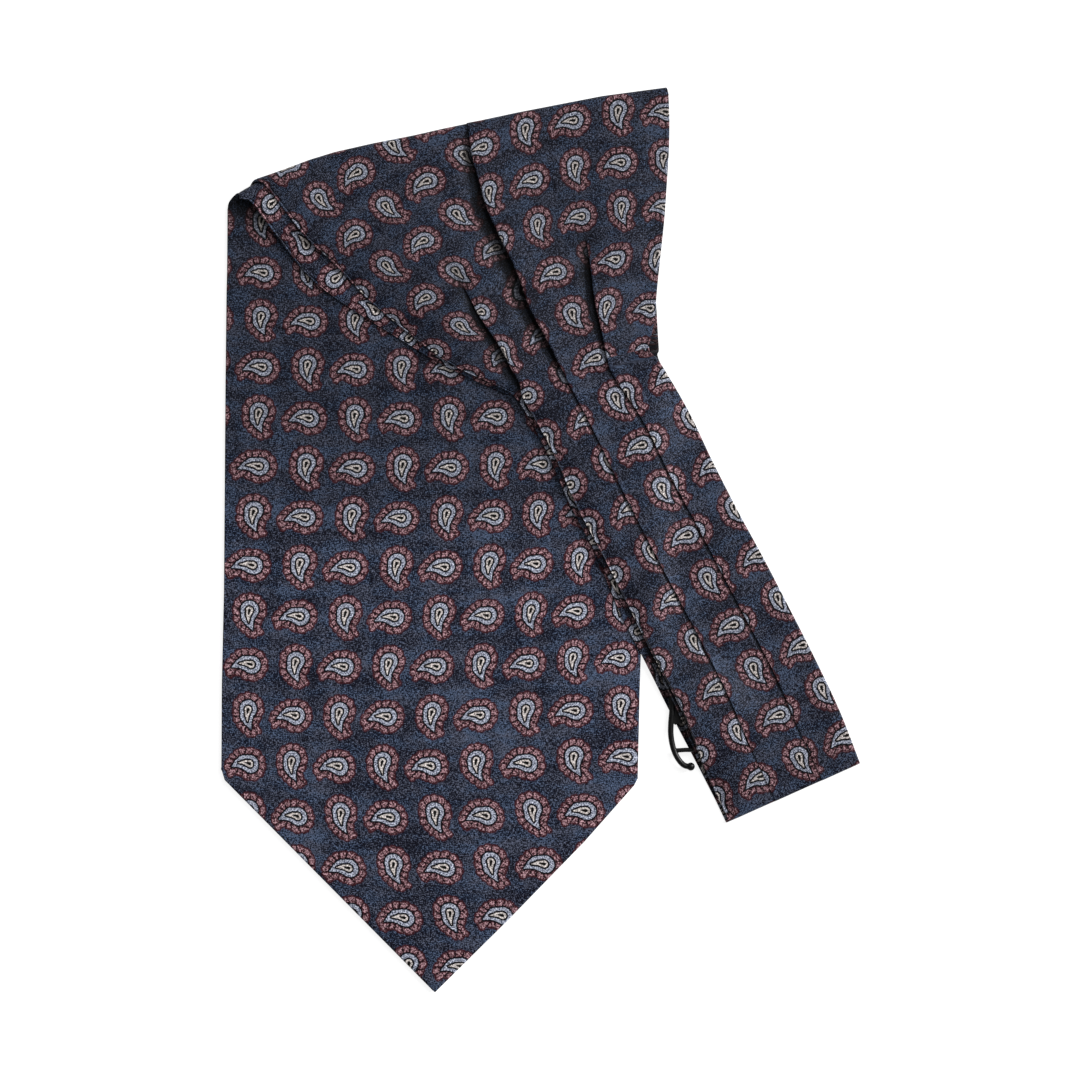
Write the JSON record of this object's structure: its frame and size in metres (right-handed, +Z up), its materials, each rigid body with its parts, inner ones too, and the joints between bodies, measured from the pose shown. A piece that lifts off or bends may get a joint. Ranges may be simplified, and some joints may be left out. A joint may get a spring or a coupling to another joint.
{
  "type": "folded silk cravat",
  "caption": "Day cravat of printed silk, folded in half and over, with wide pointed blades, a pleated taper and a stitched neckband, on a small black hook.",
  "frame": {"origin": "on the surface it lies on, under the middle of the folded outline", "axes": "+Z up off the surface; +Y from the blades' points towards the top fold, along the folded length; +X towards the neckband's end"},
  "size_m": [0.2444, 0.3464, 0.0073],
  "materials": {
    "printed_silk": "printed silk twill, low sheen",
    "black_plastic": "moulded, half gloss"
  },
  "bodies": {
    "root": {"front_blade": "printed_silk", "hidden_blade": "printed_silk", "under_half": "printed_silk", "upper_half": "printed_silk", "hanger_hook": "black_plastic"}
  },
  "joints": []
}
